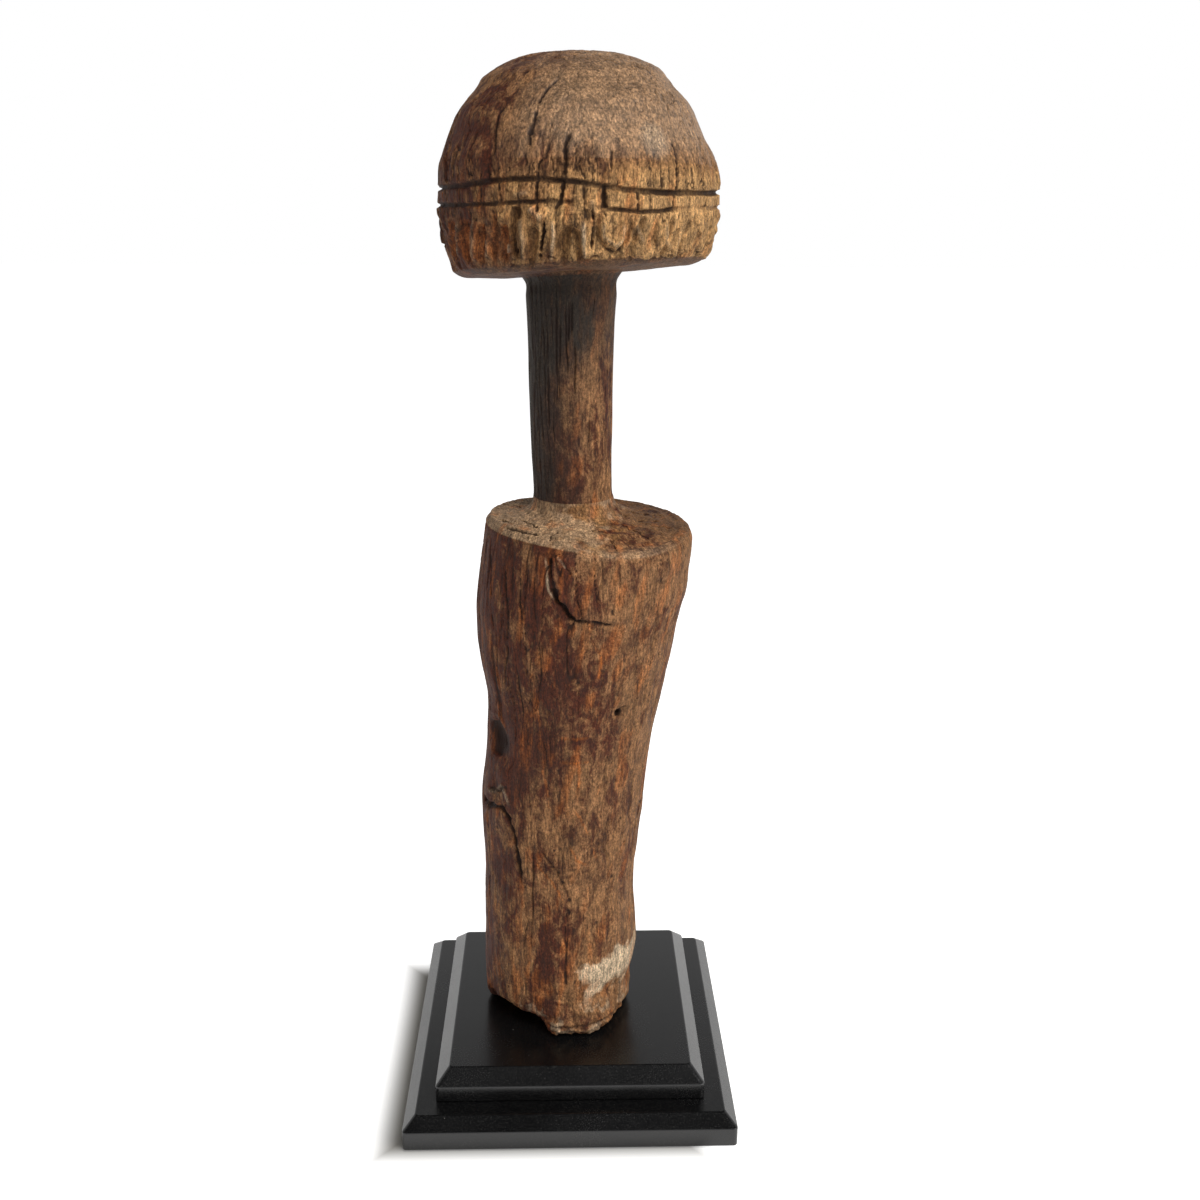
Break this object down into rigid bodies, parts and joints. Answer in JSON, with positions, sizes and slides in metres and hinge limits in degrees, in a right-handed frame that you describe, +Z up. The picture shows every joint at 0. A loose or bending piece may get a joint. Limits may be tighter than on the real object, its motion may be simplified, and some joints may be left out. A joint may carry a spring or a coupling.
{
  "type": "carved ancestor figure",
  "caption": "Weathered post figure with a grooved mushroom-shaped head on a slim neck and a tapering body, held by hidden pins on a black stepped display plinth.",
  "frame": {"origin": "on the table at the middle of the plinth", "axes": "+Z up along the figure; the figure's front and the plinth's front side face -Y"},
  "size_m": [0.15, 0.15, 0.4606],
  "materials": {
    "old_wood": "dry, weathered and cracked, with a worn sheen on the head",
    "black_wood": "satin black paint",
    "steel": "turned",
    "zinc": "bright zinc plate",
    "felt": "pressed felt"
  },
  "bodies": {
    "stand": {"plinth_lower": "black_wood", "plinth_upper": "black_wood", "main_pin": "steel", "locating_pin": "steel", "pin_washer": "zinc", "pin_nut": "zinc", "tier_screw_front_left": "zinc", "tier_screw_front_right": "zinc", "tier_screw_back_left": "zinc", "tier_screw_back_right": "zinc", "felt_pad_front_left": "felt", "felt_pad_front_right": "felt", "felt_pad_back_left": "felt", "felt_pad_back_right": "felt"},
    "carving": {"figure": "old_wood"}
  },
  "joints": [
    {"name": "figure_lift", "type": "slide", "parent": "stand", "child": "carving", "axis": [0, 0, 1], "range_m": [0, 0.04]}
  ]
}
